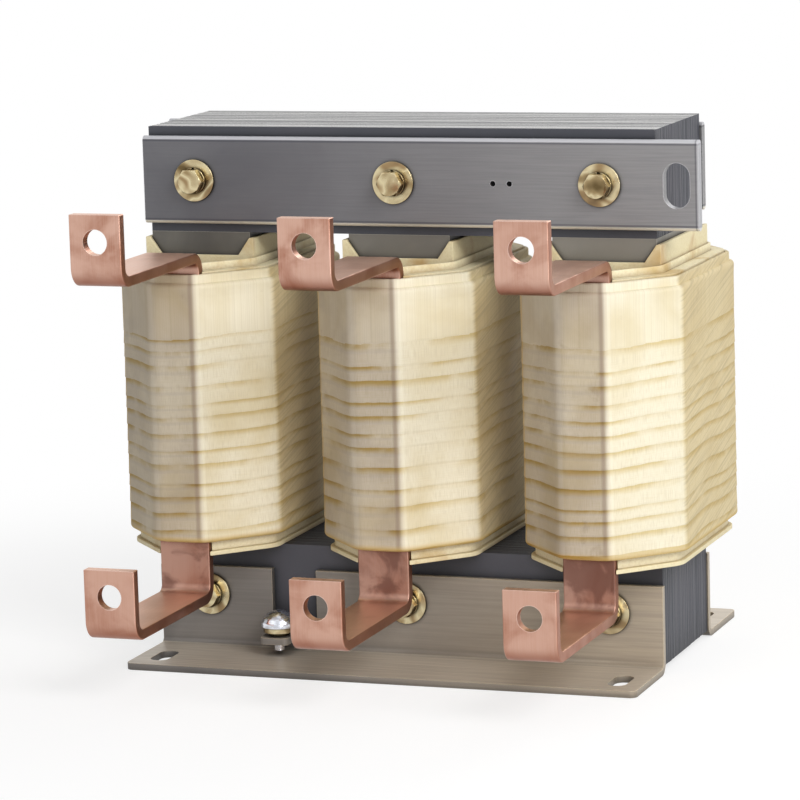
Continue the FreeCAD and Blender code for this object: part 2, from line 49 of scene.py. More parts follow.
# %% [markdown]
# ## Camera
# The photo was taken from the right and a little above, with a long lens, so upright edges
# stay almost parallel. A camera could be aimed with a constraint, but this one also leans
# a little. It is built from an azimuth, an elevation and a roll about its own line of
# sight, which keeps its three directions square to each other.

# %% Camera
AZIMUTH, ELEVATION, ROLL = 20.0, 9.5, -1.64  # degrees
TARGET = Vector((-18.5, 0.0, 142.0)) * MM
DISTANCE = 2305.0 * MM
LENS, SENSOR_WIDTH = 180.0, 36.0  # Blender takes both in millimetres


def outwards(azimuth, elevation):
    """The direction of two angles a and e, as sin a cos e, minus cos a cos e, and sin e."""
    a, e = math.radians(azimuth), math.radians(elevation)
    return Vector((math.sin(a) * math.cos(e), -math.cos(a) * math.cos(e), math.sin(e)))


def camera_matrix():
    """Right, up and back come from the two angles, then right and up turn by the roll."""
    a, r = math.radians(AZIMUTH), math.radians(ROLL)
    back = outwards(AZIMUTH, ELEVATION)
    right = Vector((math.cos(a), math.sin(a), 0.0))
    up = back.cross(right)
    turned_right = right * math.cos(r) + up * math.sin(r)
    turned_up = up * math.cos(r) - right * math.sin(r)
    turn = Matrix((turned_right, turned_up, back)).transposed().to_4x4()
    return Matrix.Translation(TARGET + back * DISTANCE) @ turn


camera_data = bpy.data.cameras.new("photo_camera")
camera_data.lens = LENS
camera_data.sensor_width = SENSOR_WIDTH
camera = bpy.data.objects.new("photo_camera", camera_data)
camera.matrix_world = camera_matrix()
scene = bpy.context.scene
scene.collection.objects.link(camera)
scene.camera = camera
scene.view_settings.view_transform = "Standard"
print("camera at", [round(v, 3) for v in camera.matrix_world.translation])

# %% [markdown]
# ## Nodes in few words
# Every material is a small graph. It could be wired by hand in the editor, but a written
# graph can be read from top to bottom. One helper adds a node and fills its sockets,
# either with a plain value or with a link from another node. The others name the few
# sums that every finish needs.

# %% Nodes and sums


def fill(tree, socket, value):
    """Gives a socket a plain value, or links it to another node's output."""
    if isinstance(value, bpy.types.NodeSocket):
        tree.links.new(value, socket)
    else:
        socket.default_value = value


def put(tree, kind, sockets=None, **settings):
    """Adds a node, sets its options, and fills each named socket."""
    node = tree.nodes.new(kind)
    for name, value in settings.items():
        setattr(node, name, value)
    for key, value in (sockets or {}).items():
        fill(tree, node.inputs[key], value)
    return node


def maths(tree, operation, first, second=0.0):
    """One Math node and its result."""
    return put(tree, "ShaderNodeMath", {0: first, 1: second}, operation=operation).outputs[0]


def times(tree, first, second):
    """First times second."""
    return maths(tree, "MULTIPLY", first, second)


def plus(tree, first, second):
    """First plus second."""
    return maths(tree, "ADD", first, second)


def axes(tree, vector):
    """The X, Y and Z of a vector."""
    return put(tree, "ShaderNodeSeparateXYZ", {0: vector}).outputs


def noise(tree, vector, scale, detail, **more):
    """The grey value of a noise texture."""
    sockets = {"Vector": vector, "Scale": scale, "Detail": detail, **more}
    return put(tree, "ShaderNodeTexNoise", sockets).outputs[0]


print("sums: maths, times, plus, axes, noise")

# %% [markdown]
# ## Masks
# A mask is a value from zero to one that says where a colour goes. Some masks come from a
# range of a value, some from the way a surface faces, and some from how closed in a place
# is, which is where shade is painted.

# %% Masks
CREASE_SHUT, CREASE_OPEN = 0.35, 0.95  # shares of the sky that a place sees
CREASE_SAMPLES = 8


def between(tree, value, low, high, to_low=0.0, to_high=1.0):
    """Carries a value from one range to another and stops at its ends."""
    sockets = {"Value": value, "From Min": low, "From Max": high,
               "To Min": to_low, "To Max": to_high}
    return put(tree, "ShaderNodeMapRange", sockets, interpolation_type="SMOOTHSTEP").outputs[0]


def band(tree, value, low, high, soft):
    """One between two limits and zero outside them, with soft ends."""
    rise = between(tree, value, low, low + soft)
    fall = between(tree, value, high - soft, high, 1.0, 0.0)
    return times(tree, rise, fall)


def directions(tree):
    """The surface's own direction as three values: to the right, to the rear and up."""
    return axes(tree, put(tree, "ShaderNodeNewGeometry").outputs["Normal"])


def crease_shade(tree, reach):
    """How closed in a place is, for painted shade: one in a tight corner and zero in the open."""
    hollow = put(tree, "ShaderNodeAmbientOcclusion", {"Distance": reach}, samples=CREASE_SAMPLES)
    return between(tree, hollow.outputs["AO"], CREASE_SHUT, CREASE_OPEN, 1.0, 0.0)


print("masks: between, band, directions, crease")

# %% [markdown]
# ## Colours
# Colours are written as six hex digits, as a paint chart gives them, and turned to linear
# light for the shader. A wash lays one colour over another where a mask says.

# %% Colours and washes


def colour(code):
    """Hex digits to linear light: p / 12.92 when dark, otherwise ((p + 0.055) / 1.055) ^ 2.4."""
    parts = [int(code[k:k + 2], 16) / 255 for k in (0, 2, 4)]
    linear = [p / 12.92 if p <= 0.04045 else ((p + 0.055) / 1.055) ** 2.4 for p in parts]
    return (*linear, 1.0)


def blend(tree, factor, first, second, blend_type="MIX"):
    """Mixes two colours by a factor. A Mix node takes its colours at inputs 6 and 7."""
    node = put(tree, "ShaderNodeMix", data_type="RGBA", blend_type=blend_type)
    for k, value in ((0, factor), (6, first), (7, second)):
        fill(tree, node.inputs[k], value)
    return node.outputs[2]


def wash(tree, face, mask, strength, code):
    """Lays a colour over a face where a mask says, at a strength."""
    return blend(tree, times(tree, mask, strength), face, colour(code))


print("mid grey is", round(colour("808080")[0], 3), "in linear light")

# %% [markdown]
# ## Groups and materials
# A node group is a small graph with named inputs and outputs that many materials can hold.
# A material has one Principled shader. What is the same all over a piece is set on the
# shader's own sockets, and what changes is wired in.

# %% Group and material helpers
SOCKET_KINDS = {"float": "NodeSocketFloat", "vector": "NodeSocketVector"}


def new_group(name, inputs):
    """An empty node group with named inputs and one output, a value."""
    tree = bpy.data.node_groups.new(name, "ShaderNodeTree")
    for label, kind, value in inputs:
        socket = tree.interface.new_socket(label, in_out="INPUT", socket_type=SOCKET_KINDS[kind])
        socket.default_value = value
    tree.interface.new_socket("Value", in_out="OUTPUT", socket_type=SOCKET_KINDS["float"])
    leave = tree.nodes.new("NodeGroupOutput")
    return tree, tree.nodes.new("NodeGroupInput").outputs, leave.inputs["Value"]


def use_group(tree, group, sockets):
    """Places a group in a material with its own values, and gives its result."""
    node = tree.nodes.new("ShaderNodeGroup")
    node.node_tree = group
    for key, value in sockets.items():
        fill(tree, node.inputs[key], value)
    return node.outputs[0]


def new_material(name, **constants):
    """A material with one Principled shader, whose constants are set on its own sockets."""
    material = bpy.data.materials.new(name)
    material.use_nodes = True
    tree = material.node_tree
    tree.nodes.clear()
    shader = tree.nodes.new("ShaderNodeBsdfPrincipled")
    for key, value in constants.items():
        shader.inputs[key.replace("_", " ")].default_value = value
    put(tree, "ShaderNodeOutputMaterial", {"Surface": shader.outputs[0]})
    return material, tree, shader, tree.nodes.new("ShaderNodeTexCoord").outputs["Object"]


def wire_up(tree, shader, face, roughness=None, height=None, strength=0.0, depth=0.0):
    """Links a finish's colour to its shader, and its roughness and bump where it has them."""
    tree.links.new(face, shader.inputs["Base Color"])
    if roughness is not None:
        tree.links.new(roughness, shader.inputs["Roughness"])
    if height is not None:
        sockets = {"Height": height, "Strength": strength, "Distance": depth}
        bump = put(tree, "ShaderNodeBump", sockets)
        tree.links.new(bump.outputs[0], shader.inputs["Normal"])
    print("a finish of", len(tree.nodes), "nodes")


print("sockets of a group:", list(SOCKET_KINDS))

# %% [markdown]
# ## Effects that several finishes share
# Rolled steel, drawn copper and cut sheets all carry fine lines along one direction, so the
# first group is noise stretched by three scales. The second finds edges: where a normal
# rounded over a small radius differs from the true one, the surface turns, and that is
# where paint wears and where a highlight is painted. The third is slow staining.

# %% Group: fine lines
lines_group, enter, leave = new_group("fine_lines", [
    ("Vector", "vector", (0, 0, 0)), ("Stretch", "vector", (1, 1, 1)),
    ("Low", "float", 0.3), ("High", "float", 0.7)])
stretched = put(lines_group, "ShaderNodeVectorMath", {0: enter["Vector"], 1: enter["Stretch"]},
                operation="MULTIPLY").outputs[0]
grain = noise(lines_group, stretched, 1.0, 4.0, Roughness=0.6)
lines_group.links.new(between(lines_group, grain, enter["Low"], enter["High"]), leave)


def fine_lines(tree, place, stretch, low=0.3, high=0.7):
    """Lines along the direction with the smallest of three scales."""
    sockets = {"Vector": place, "Stretch": stretch, "Low": low, "High": high}
    return use_group(tree, lines_group, sockets)


print("group:", lines_group.name)

# %% Group: edges
EDGE_STARTS = 0.02  # how far the two normals differ before an edge counts
BEVEL_SAMPLES = 6
edge_group, enter, leave = new_group("edges", [
    ("Radius", "float", 0.001), ("Low", "float", 0.02), ("High", "float", 0.3)])
bevelled = put(edge_group, "ShaderNodeBevel", {"Radius": enter["Radius"]}, samples=BEVEL_SAMPLES)
straight = put(edge_group, "ShaderNodeNewGeometry").outputs["Normal"]
agreement = put(edge_group, "ShaderNodeVectorMath", {0: bevelled.outputs[0], 1: straight},
                operation="DOT_PRODUCT").outputs["Value"]
turning = maths(edge_group, "SUBTRACT", 1.0, agreement)
edge_group.links.new(between(edge_group, turning, enter["Low"], enter["High"]), leave)


def edge_wear_and_highlight(tree, radius, high):
    """One on edges rounder than a radius, where the two normals differ by the high mark."""
    return use_group(tree, edge_group, {"Radius": radius, "Low": EDGE_STARTS, "High": high})


print("group:", edge_group.name)

# %% Group: stains
stain_group, enter, leave = new_group("stains", [
    ("Vector", "vector", (0, 0, 0)), ("Scale", "float", 30.0),
    ("Low", "float", 0.45), ("High", "float", 0.75)])
slow = noise(stain_group, enter["Vector"], enter["Scale"], 5.0, Distortion=0.6)
stain_group.links.new(between(stain_group, slow, enter["Low"], enter["High"]), leave)


def stains(tree, place, scale, low, high):
    """Slow patches: the higher the scale, the smaller they are."""
    sockets = {"Vector": place, "Scale": scale, "Low": low, "High": high}
    return use_group(tree, stain_group, sockets)


print("group:", stain_group.name)

# %% [markdown]
# ## Copper
# The terminal bars are drawn copper, wiped clean and a little dull, so they are pink. A
# painted highlight lies on their edges and on faces that look up, and painted shade on faces
# that look right or down and in the creases. Near the coils they are mottled with tarnish
# from the varnish oven and darkened further by painted shade, most of all the lower ones,
# which are also darker all over. A metal's colour is the colour of what it reflects, so the
# shader is fully metallic, and the variation is in colour and roughness.

# %% Copper
LOWER_BARS, UPPER_BARS = 100.0 * MM, 150.0 * MM  # Z above the lower set and below the upper
CLEAN_FROM, BAKED_FROM = -104.0 * MM, -84.0 * MM  # Y in front of the coil and at its face
copper, tree, shader, place = new_material("drawn_copper", Metallic=1.0)
drawn = fine_lines(tree, place, (2400.0, 60.0, 60.0))
tarnish = stains(tree, place, 38.0, 0.42, 0.72)
patches = stains(tree, place, 62.0, 0.42, 0.6)
face = blend(tree, tarnish, colour("d0a794"), colour("a8735c"))
face = wash(tree, face, drawn, 0.16, "f2d8cc")
_, y, z = axes(tree, place)
lower = between(tree, z, LOWER_BARS, UPPER_BARS, 1.0, 0.25)
# Near the coils: mottled tarnish, darkened further by painted shade.
by_coil = times(tree, between(tree, y, CLEAN_FROM, BAKED_FROM), lower)
tarnish_and_shade = times(tree, by_coil, plus(tree, times(tree, patches, 0.5), 0.42))
face = blend(tree, tarnish_and_shade, face, colour("604742"))
face = wash(tree, face, lower, 0.22, "b07a64")
# Painted highlight on faces that look up, painted shade on faces that look right or down.
to_right, _, up = directions(tree)
face = blend(tree, between(tree, up, 0.6, 0.95, 0.0, 0.55), face, colour("eec6ae"))
face = blend(tree, between(tree, to_right, 0.6, 0.95, 0.0, 0.6), face, colour("96593c"))
face = blend(tree, between(tree, up, -0.85, -0.15, 0.65, 0.0), face, colour("8a4a2e"))
# Painted shade in the creases and a painted highlight on the edges.
face = wash(tree, face, crease_shade(tree, 6.0 * MM), 0.8, "5c3524")
face = wash(tree, face, edge_wear_and_highlight(tree, 0.9 * MM, 0.25), 0.65, "ffe8dc")
wire_up(tree, shader, face, between(tree, drawn, 0.0, 1.0, 0.33, 0.46), drawn, 0.12, 0.1 * MM)

# %% [markdown]
# ## Steel finishes
# The upper bars are coated a cool grey. The lower angles are warmer and carry the streaks
# of the rolled sheet, and the limbs are dull sheet edges. One function makes all three,
# because they differ only in tones and in the way their lines run. Painted light makes each
# paler towards its right-hand end and on top, its edges are paler with wear and a painted
# highlight, and painted shade darkens the creases. The upper bars also carry pale and dark
# bands beside their edges, which are painted highlights, a painted reflection and painted
# shade, and a table gives those.

# %% Coated bar, folded sheet and limb
# Painted light grows towards the right-hand end over this range of X.
LIT_END_FROM, LIT_END_TO = -120.0 * MM, 180.0 * MM


def steel(name, tones, stretch, metallic, roughness, light_and_shade_bands=()):
    """Rolled steel: lines, slow stains, painted light on the right-hand end and the top, edges
    pale with wear and a painted highlight, and painted shade in the creases.

    The tones are the base, the dark, the lit right-hand end, the lit top and the edges. A
    band of painted light or shade is an axis, two limits and a softness in millimetres, a
    strength and a tone.
    axis, two limits and a softness in millimetres, a strength and a tone.
    """
    base, dark, lit_end, top, rim = tones
    material, tree, shader, place = new_material(name, Metallic=metallic)
    rolled = fine_lines(tree, place, stretch, 0.28, 0.72)
    where = axes(tree, place)
    face = blend(tree, stains(tree, place, 14.0, 0.35, 0.75), colour(base), colour(dark))
    # Painted light: paler towards the right-hand end and on faces that look up.
    face = blend(tree, between(tree, where[0], LIT_END_FROM, LIT_END_TO), face, colour(lit_end))
    face = blend(tree, between(tree, directions(tree)[2], 0.7, 0.95, 0.0, 0.8), face, colour(top))
    face = wash(tree, face, rolled, 0.25, dark)
    # Edges paler with wear and a painted highlight.
    face = wash(tree, face, edge_wear_and_highlight(tree, 0.7 * MM, 0.22), 0.8, rim)
    # Bands of painted highlight and painted shade beside the edges.
    for axis, low, high, soft, strength, code in light_and_shade_bands:
        painted_band = band(tree, where[axis], low * MM, high * MM, soft * MM)
        face = wash(tree, face, painted_band, strength, code)
    # Painted shade in the creases.
    face = wash(tree, face, crease_shade(tree, 8.0 * MM), 0.8, "262422")
    shine = between(tree, rolled, 0.0, 1.0, roughness, roughness + 0.12)
    wire_up(tree, shader, face, shine, rolled, 0.1, 0.1 * MM)
    return material


# Pale bands are painted highlights, the one along the lower edge a painted reflection; dark bands
# are painted shade.
BAR_LIGHT_AND_SHADE = (
    (2, 297.0, 300.0, 0.5, 0.75, "cfcfd4"), (2, 295.8, 297.2, 0.5, 0.6, "3a3a44"),
    (2, 248.0, 251.2, 0.8, 0.8, "efe8da"), (2, 251.0, 252.4, 0.5, 0.55, "3a3a44"),
    (0, 174.9, 177.0, 0.4, 0.45, "cfcfd4"), (0, 173.8, 175.0, 0.4, 0.5, "3a3a44"))
BAR_TONES = ("69696d", "5a5a5f", "8e8d8e", "a8a8ac", "e2e2e6")
ANGLE_TONES = ("86817c", "6d6864", "b7a995", "dfd3c2", "f2dcae")
LIMB_TONES = ("77746c", "565450", "8a867d", "9a968c", "b8b4a8")
bar_steel = steel("coated_bar", BAR_TONES, (25.0, 900.0, 900.0), 0.25, 0.36, BAR_LIGHT_AND_SHADE)
angle_steel = steel("folded_sheet", ANGLE_TONES, (20.0, 700.0, 700.0), 0.3, 0.38)
limb_steel = steel("limb_sheets", LIMB_TONES, (14.0, 1200.0, 14.0), 0.2, 0.4)

# %% [markdown]
# ## Core sheets
# The core is hundreds of thin sheets under a dark slate lacquer. The lines on its sides are
# the sheets' own edges, so they follow Y alone: a fine set for single sheets and a coarse
# one for packets. Painted shade darkens it where it is closed in. Only the top of the upper
# yoke is pale: bare sheet edges, made paler still by painted light.

# %% Core sheets
YOKE_TOP_FROM, YOKE_TOP_TO = 290.0 * MM, 300.0 * MM
core_steel, tree, shader, place = new_material("core_sheets", Metallic=0.15)
sheets = fine_lines(tree, place, (3.0, 1500.0, 3.0))
packets = fine_lines(tree, place, (2.0, 210.0, 2.0), 0.35, 0.65)
face = blend(tree, packets, colour("3c3f47"), colour("4d4d54"))
face = wash(tree, face, sheets, 0.4, "67656d")
face = wash(tree, face, stains(tree, place, 18.0, 0.4, 0.8), 0.35, "33383e")
# Painted shade where the core is closed in.
face = wash(tree, face, crease_shade(tree, 30.0 * MM), 0.8, "14171b")
# The top of the upper yoke: bare sheet edges with painted light.
high_up = between(tree, axes(tree, place)[2], YOKE_TOP_FROM, YOKE_TOP_TO)
face_up = between(tree, directions(tree)[2], 0.75, 0.95)
face = blend(tree, times(tree, face_up, high_up), face, colour("f4f3f1"))
wire_up(tree, shader, face, between(tree, sheets, 0.0, 1.0, 0.42, 0.58), sheets, 0.3, 0.15 * MM)

# %% [markdown]
# ## Plated fasteners
# Yellow passivation is a thin film over zinc, and its colour drifts between straw, olive
# and rose as the film's thickness changes. Noise picks the place on that drift. Small
# bright parts show little but reflections, so painted shade darkens what faces down or to
# the right, and a painted highlight lightens what faces up. Painted shade darkens the
# creases, and a painted highlight lies on the edges.

# %% Yellow plating
FILM_TONES = (
    (0.30, "6b5a3c"), (0.42, "a08b66"), (0.52, "dccfa8"), (0.62, "a08864"), (0.76, "74614a"))
plating, tree, shader, place = new_material("yellow_plating", Metallic=1.0)
film = noise(tree, place, 55.0, 2.0, Distortion=0.4)
ramp = put(tree, "ShaderNodeValToRGB", {"Fac": film})
stops = ramp.color_ramp.elements
for stop, (position, code) in zip((stops[0], stops[1]), (FILM_TONES[0], FILM_TONES[-1])):
    stop.position, stop.color = position, colour(code)
for position, code in FILM_TONES[1:-1]:
    stops.new(position).color = colour(code)
to_right, _, up = directions(tree)
# Painted shade on faces that look down or right, painted highlight on faces that look up.
lean = plus(tree, times(tree, up, 0.8), times(tree, to_right, -0.35))
face = blend(tree, between(tree, lean, -0.7, -0.1, 0.85, 0.0), ramp.outputs[0], colour("3a2c16"))
face = blend(tree, between(tree, lean, 0.3, 0.8, 0.0, 0.6), face, colour("f6e6bd"))
# Painted shade in the creases and a painted highlight on the edges.
face = wash(tree, face, crease_shade(tree, 4.0 * MM), 1.0, "20180c")
face = wash(tree, face, edge_wear_and_highlight(tree, 0.5 * MM, 0.25), 0.75, "fff0c8")
wire_up(tree, shader, face, between(tree, film, 0.3, 0.7, 0.2, 0.36))

# %% Bright plating
bright, tree, shader, place = new_material("bright_plating", Metallic=1.0)
scuffs = fine_lines(tree, place, (300.0, 300.0, 900.0), 0.35, 0.7)
face = blend(tree, scuffs, colour("e2e4ea"), colour("b8bcc6"))
wire_up(tree, shader, face, between(tree, scuffs, 0.0, 1.0, 0.16, 0.34))

# %% [markdown]
# ## Insulation
# The formers, the layer papers and the inner windings are cream paper and board soaked in
# varnish. It shows yellow on the rims, and painted shade darkens the corners brown. Fibres
# show as a fine, almost even mottling, so they are noise of a high scale.

# %% Paper and board


def paper(name, base, soaked, fibre_scale, low):
    """Varnished paper: two slow tones, fibres, yellow rims and painted brown shade in corners."""
    material, tree, shader, place = new_material(name, Coat_Roughness=0.35)
    soak = stains(tree, place, 32.0, low, 0.8)
    fibre = noise(tree, place, fibre_scale, 4.0)
    face = blend(tree, soak, colour(base), colour(soaked))
    face = blend(tree, between(tree, fibre, 0.4, 0.7, 0.0, 0.25), face, colour("c9b27a"))
    face = wash(tree, face, edge_wear_and_highlight(tree, 0.6 * MM, 0.22), 0.55, "d9b552")
    # Painted shade, brown, in the corners.
    face = wash(tree, face, crease_shade(tree, 5.0 * MM), 0.5, "7a5c30")
    wire_up(tree, shader, face, between(tree, soak, 0.0, 1.0, 0.68, 0.42), fibre, 0.25, 0.2 * MM)
    return material


board = paper("former_board", "e6dbb6", "b88f4e", 900.0, 0.5)
varnished_paper = paper("varnished_paper", "efe6c6", "c9a862", 700.0, 0.48)
spacer_board = paper("spacer_board", "8d8048", "5f5a38", 1200.0, 0.4)

# %% [markdown]
# ## Wood
# The duct sticks keep the windings apart, so that air can rise between them. They are
# split along the grain, which is why their lines run upright.

# %% Wood
wood, tree, shader, place = new_material("stick_wood", Roughness=0.6)
rings = fine_lines(tree, place, (600.0, 600.0, 12.0))
wire_up(tree, shader, blend(tree, rings, colour("d9bd83"), colour("a9834a")))

# %% [markdown]
# ## Tape: where each turn ends
# Each coil is bound in cotton tape, laid turn over turn and soaked in varnish. The exposed
# edge of each turn shows as a soft golden line. The pattern has to follow the winding, so
# the material reads the coil's own UV map: U is the way round in metres, and V counts the
# turns of tape, so the line is wherever V passes a whole number. Noise makes it ragged,
# and slow stains fade it out in places.

# %% Tape: edges of the turns
tape, tree, shader, place = new_material("winding_tape", Coat_Roughness=0.4)
around, turn, _ = axes(tree, put(tree, "ShaderNodeUVMap", uv_map="winding").outputs[0])
ragged = maths(tree, "SUBTRACT", noise(tree, place, 160.0, 3.0), 0.5)
phase = maths(tree, "FRACT", plus(tree, turn, times(tree, ragged, 0.10)))
started = maths(tree, "GREATER_THAN", turn, 0.5)
fading = stains(tree, place, 26.0, 0.32, 0.6)
near_edge = between(tree, phase, 0.04, 0.42, 1.0, 0.0)
edge_line = times(tree, times(tree, near_edge, started), fading)
print("turn edges:", len(tree.nodes), "nodes so far")

# %% [markdown]
# ## Tape: cloth and varnish
# Cotton threads run along the tape and across it. Each set is noise on a flat pattern that
# is fine one way and coarse the other. Varnish soaks in unevenly and leaves a few spots.

# %% Tape: weave


def flat_noise(tree, first, first_scale, second, second_scale, detail=2.0):
    """Noise at the point (first times its scale, second times its scale)."""
    spot = {0: times(tree, first, first_scale), 1: times(tree, second, second_scale)}
    return noise(tree, put(tree, "ShaderNodeCombineXYZ", spot).outputs[0], 1.0, detail)


threads = flat_noise(tree, around, 2600.0, turn, 1.6)
weft = flat_noise(tree, around, 90.0, turn, 26.0)
soak = stains(tree, place, 17.0, 0.42, 0.8)
face = blend(tree, soak, colour("ebe3cb"), colour("d8c9a2"))
face = blend(tree, between(tree, threads, 0.42, 0.7, 0.0, 0.35), face, colour("c9bc9c"))
face = blend(tree, between(tree, weft, 0.45, 0.7, 0.0, 0.22), face, colour("d8caa0"))
face = wash(tree, face, stains(tree, place, 60.0, 0.68, 0.8), 0.3, "8a6a48")
print("weave:", len(tree.nodes), "nodes so far")

# %% [markdown]
# ## Tape: the eight facets
# Each facet has its own tone, painted as the light and shade that fall on it. The
# coil carries two attributes for this: how far a point is into a corner, and how far
# its facet faces to the right. The front and left facets are greyer with painted shade,
# mottled and dark under each turn's edge, and their golden lines are darker. The right
# side is dimmed a little by painted shade and has slanting streaks, the rounded corners
# carry a painted highlight, and a fold line marks the front facet's right-hand side.

# %% Tape: facets
SHADED_UNTIL, UNSHADED_FROM = 0.2, 0.5  # how far a facet faces to the right
corner = put(tree, "ShaderNodeAttribute", attribute_name="corner").outputs["Fac"]
facing = put(tree, "ShaderNodeAttribute", attribute_name="facing").outputs["Fac"]
# Painted highlight on the rounded corners.
face = wash(tree, face, between(tree, corner, 0.8, 1.0), 0.3, "fffbe8")
# Painted shade: facets that don't face right are greyer, in patches.
shadowed = between(tree, facing, SHADED_UNTIL, UNSHADED_FROM, 1.0, 0.0)
patchy = plus(tree, times(tree, fading, 0.25), 0.75)
face = blend(tree, times(tree, shadowed, patchy), face, colour("d2cbc9"), "MULTIPLY")
# Painted shade: a dark band under each turn's edge, on the shaded facets.
shade_under_edge = times(tree, band(tree, phase, 0.22, 0.5, 0.1), started)
face = wash(tree, face, times(tree, shade_under_edge, shadowed), 0.14, "8b8086")
# Painted shade, mottled, on the shaded facets.
mottled_shade = stains(tree, place, 34.0, 0.46, 0.72)
face = wash(tree, face, times(tree, mottled_shade, shadowed), 0.2, "918680")
print("facets:", len(tree.nodes), "nodes so far")

# %% Tape: streaks, folds and rim
STREAK_SLOPE = 0.24  # how much the streaks rise towards the rear
RIM_FROM, RIM_TO = 72.5 * MM, 76.5 * MM
_, y, z = axes(tree, place)
sideways = between(tree, facing, 0.86, 0.99)
rising = maths(tree, "SUBTRACT", z, times(tree, y, STREAK_SLOPE))
streaks = flat_noise(tree, rising, 900.0, y, 12.0, 3.0)
# Painted shade dims the right side a little.
face = blend(tree, sideways, face, colour("ede3cb"), "MULTIPLY")
face = wash(tree, face, sideways, between(tree, streaks, 0.42, 0.7, 0.0, 0.36), "9a8a6c")
fold = times(tree, between(tree, facing, 0.08, 0.2), between(tree, facing, 0.22, 0.36, 1.0, 0.0))
face = wash(tree, face, fold, 0.6, "8b7869")
face = wash(tree, face, band(tree, facing, -0.96, -0.78, 0.08), 0.55, "c9a552")
face = wash(tree, face, between(tree, z, RIM_FROM, RIM_TO, 1.0, 0.0), 0.7, "cfab4c")
# The golden lines are darker on the shaded facets, as part of the painted shade.
line_strength = plus(tree, times(tree, shadowed, 0.34), 0.58)
face = blend(tree, times(tree, edge_line, line_strength), face, colour("d8bf62"), "MULTIPLY")
shine = between(tree, soak, 0.0, 1.0, 0.72, 0.5)
wire_up(tree, shader, face, shine, plus(tree, threads, weft), 0.35, 0.15 * MM)
print("materials:", [material.name for material in bpy.data.materials])

# %% [markdown]
# ## Merged copies of the solids
# A CAD node's mesh is loose triangles, so its round faces look faceted and its edges are
# perfectly sharp. A merged copy can do better: flat neighbours join, every crease gets a
# small bevel that catches the light, and the rest is shaded smooth. The copy then stands
# for its node, and the node stays in the frame.

# %% Copy, merge and bevel
MERGE_WITHIN = 0.002 * MM
FLAT_WITHIN = math.radians(0.3)
SHARP_OVER = math.radians(35)
BEVEL_SEGMENTS = 2


def finished_copy(node, material, width):
    """A merged copy of a node, with flats joined and, where a width is given, each sharp edge
    rounded by a bevel.
    """
    bm = bmesh.new()
    bm.from_mesh(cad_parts[node].data)
    bmesh.ops.remove_doubles(bm, verts=bm.verts, dist=MERGE_WITHIN)
    bmesh.ops.dissolve_limit(bm, angle_limit=FLAT_WITHIN, verts=bm.verts, edges=bm.edges)
    for edge in bm.edges:
        edge.smooth = len(edge.link_faces) == 2 and edge.calc_face_angle(0.0) < SHARP_OVER
    for face in bm.faces:
        face.smooth = True
    name = f"{node}_finished"
    mesh = bpy.data.meshes.new(name)
    bm.to_mesh(mesh)
    bm.free()
    piece = bpy.data.objects.new(name, mesh)
    scene.collection.objects.link(piece)
    if width:
        bevel = piece.modifiers.new("edge_round", "BEVEL")
        bevel.width = width
        bevel.segments = BEVEL_SEGMENTS
        bevel.limit_method = "ANGLE"
        bevel.angle_limit = SHARP_OVER
        bevel.harden_normals = True
    mesh.materials.append(material)
    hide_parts(node)
    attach(piece, "root")


print("an edge is sharp over", round(math.degrees(SHARP_OVER)), "degrees")

# %% [markdown]
# ## Which solids get a copy
# The copper and the upper bars are rounded in the CAD model already, so their copies need
# no bevel. The others get one that suits their size.

# %% Finished copies
COILS = ("left", "mid", "right")
ENDS = ("front", "rear")
FASTENERS = ("upper_clamp_bolts", "lower_clamp_bolts", "hex_nuts", "plain_washers",
             "spring_washers", "earth_plain_washer", "earth_spring_washer")
copies = [(f"{coil}_{level}_terminal", copper, 0.0, "copper")
          for coil in COILS for level in ("upper", "lower")]
copies += [(f"{end}_clamp_bar", bar_steel, 0.0, "bar_steel") for end in ENDS]
copies += [(f"{end}_clamp_angle", angle_steel, 0.35 * MM, "angle_steel") for end in ENDS]
copies += [(name, plating, 0.25 * MM, "plated_fasteners") for name in FASTENERS]
copies.append(("earth_screw", bright, 0.25 * MM, "bright_screw"))
copies += [(f"{coil}_former", board, 0.4 * MM, "former_board") for coil in COILS]
copies += [(f"{coil}_{layer}", varnished_paper, 0.3 * MM, "layer_paper")
           for coil in COILS for layer in ("inner_winding", "layer_paper")]
for node, material, width, slot_name in copies:
    finished_copy(node, material, width)
print("finished copies:", len(copies))

# %% [markdown]
# ## Solids that keep their own mesh
# Blocks deep in the core hardly show. They keep their CAD mesh and only get the material.

# %% Repaint the rest


def repaint(node, material):
    """Gives a CAD node's object its material and leaves its mesh alone."""
    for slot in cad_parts[node].material_slots:
        slot.link = "OBJECT"
        slot.material = material


for coil in COILS:
    repaint(f"{coil}_duct_sticks", wood)
    for k in (1, 2, 3):
        repaint(f"{coil}_limb_block_{k}", limb_steel)
    for k in (1, 2):
        repaint(f"{coil}_gap_spacer_{k}", spacer_board)
repaint("bolt_sleeves", spacer_board)
print("nodes in the frame:", len(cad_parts))

# %% [markdown]
# ## Surfaces from grids
# A closed ring of points, repeated along a closed profile, is a torus-like grid. One
# function turns such an array into a mesh. It takes rows along the profile and columns
# round the ring, and writes a UV map whose last column doesn't run back to the first.

# %% Grid to mesh


